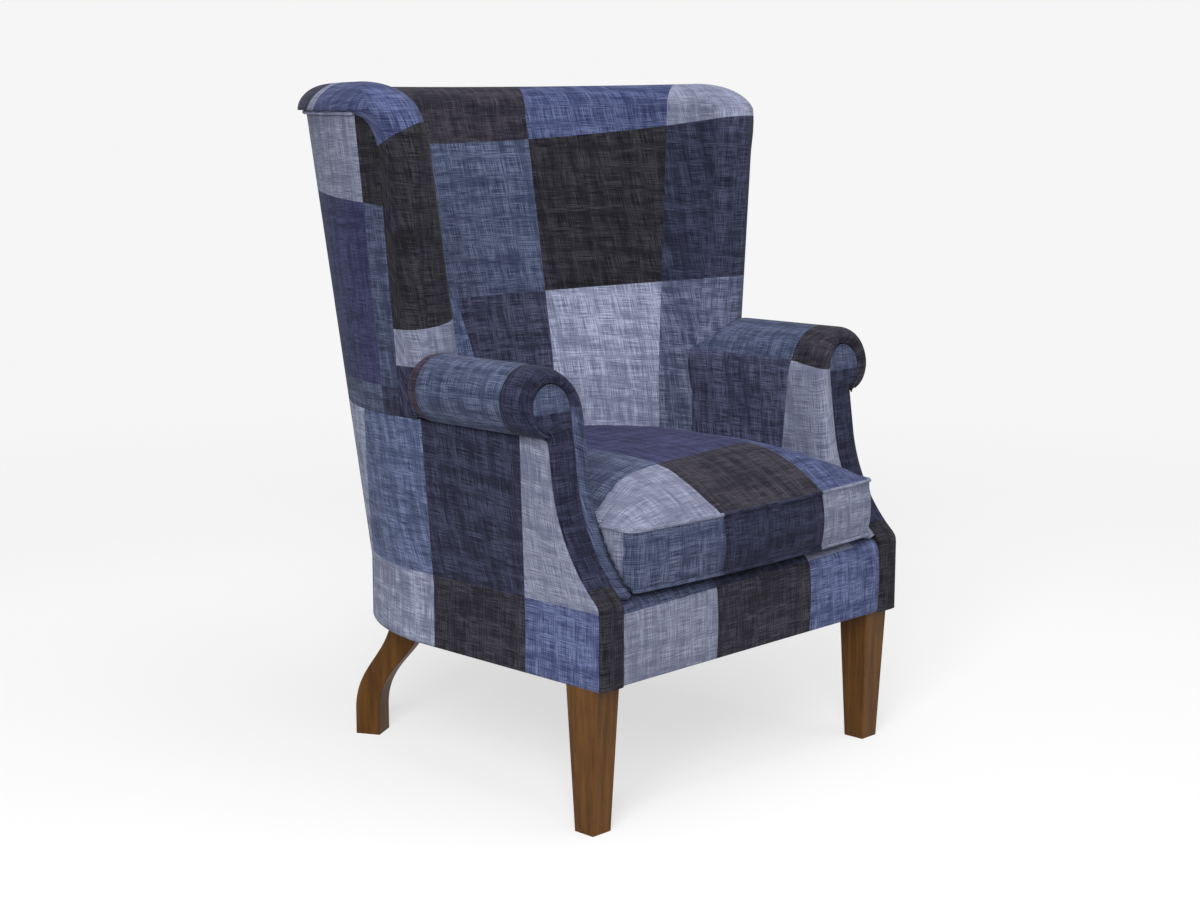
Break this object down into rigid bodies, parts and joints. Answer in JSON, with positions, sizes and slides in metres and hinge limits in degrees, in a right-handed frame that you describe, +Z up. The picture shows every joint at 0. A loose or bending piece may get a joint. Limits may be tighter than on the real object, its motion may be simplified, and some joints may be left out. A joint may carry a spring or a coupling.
{
  "type": "wing armchair",
  "caption": "Upholstered wing armchair with a barrel back, rolled arms, tapered front legs, swept rear legs and a loose seat cushion; patchwork cloth cover over a hardwood frame.",
  "frame": {"origin": "on the floor under the middle of the chair's box", "axes": "+Z up, the sitter faces -Y, +X to the right as seen from the front"},
  "size_m": [0.8259, 0.8381, 1.05],
  "materials": {
    "patch_cloth": "indigo linen patchwork, matt",
    "piping_cloth": "indigo linen over cord, matt",
    "platform_cloth": "plain dark blue lining cloth",
    "dust_cloth": "black spun-bonded cloth",
    "webbing": "woven jute webbing",
    "leg_wood": "stained and satin lacquered hardwood",
    "frame_wood": "unfinished beech",
    "bolt_steel": "zinc plated"
  },
  "bodies": {
    "chair": {"front_leg_left": "leg_wood", "front_leg_right": "leg_wood", "rear_leg_left": "leg_wood", "rear_leg_right": "leg_wood", "arm_stump_left": "frame_wood", "arm_stump_right": "frame_wood", "front_seat_rail": "frame_wood", "side_seat_rail_left": "frame_wood", "side_seat_rail_right": "frame_wood", "back_seat_rail": "frame_wood", "corner_blocks": "frame_wood", "wing_post_left": "frame_wood", "wing_post_right": "frame_wood", "back_post_left": "frame_wood", "back_post_right": "frame_wood", "top_rail": "frame_wood", "arm_rail_left": "frame_wood", "arm_rail_right": "frame_wood", "arm_liner_left": "frame_wood", "arm_liner_right": "frame_wood", "back_liner": "frame_wood", "leg_bolts": "bolt_steel", "webbing": "webbing", "seat_platform": "platform_cloth", "dust_cover": "dust_cloth", "front_border": "patch_cloth", "arm_facing_left": "patch_cloth", "arm_facing_right": "patch_cloth", "arm_pad_left": "patch_cloth", "arm_pad_right": "patch_cloth", "inside_back": "patch_cloth", "outside_arm_left": "patch_cloth", "outside_arm_right": "patch_cloth", "outside_wing_left": "patch_cloth", "outside_wing_right": "patch_cloth", "outside_back": "patch_cloth", "edge_piping": "piping_cloth"},
    "cushion": {"seat_cushion": "patch_cloth", "cushion_piping": "piping_cloth"}
  },
  "joints": [
    {"name": "cushion_lift", "type": "slide", "parent": "chair", "child": "cushion", "axis": [0, 0, 1], "range_m": [0, 0.35]}
  ]
}
